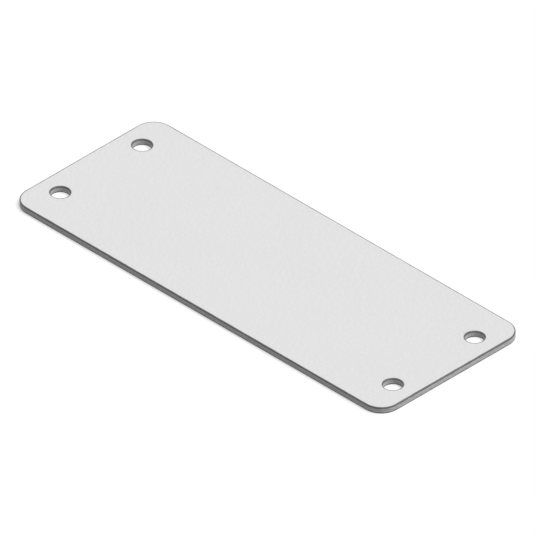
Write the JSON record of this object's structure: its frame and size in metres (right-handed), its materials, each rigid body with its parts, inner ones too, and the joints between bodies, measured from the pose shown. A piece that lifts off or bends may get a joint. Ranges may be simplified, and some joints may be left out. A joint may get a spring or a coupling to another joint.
{
  "type": "rectangular cover plate",
  "caption": "Flat rectangular sheet-metal cover plate with rounded corners and a plain screw hole near each corner, for closing a rectangular cut-out in a panel.",
  "frame": {"origin": "centre of the flat underside, the face that lies on the panel", "axes": "+X along the long side, +Y across the plate, +Z out of the outer face"},
  "size_m": [0.145, 0.056, 0.002],
  "materials": {
    "light_grey_powder_coat": "light grey satin powder coat on sheet steel, fine orange peel"
  },
  "bodies": {
    "root": {"cover_plate": "light_grey_powder_coat"}
  },
  "joints": []
}
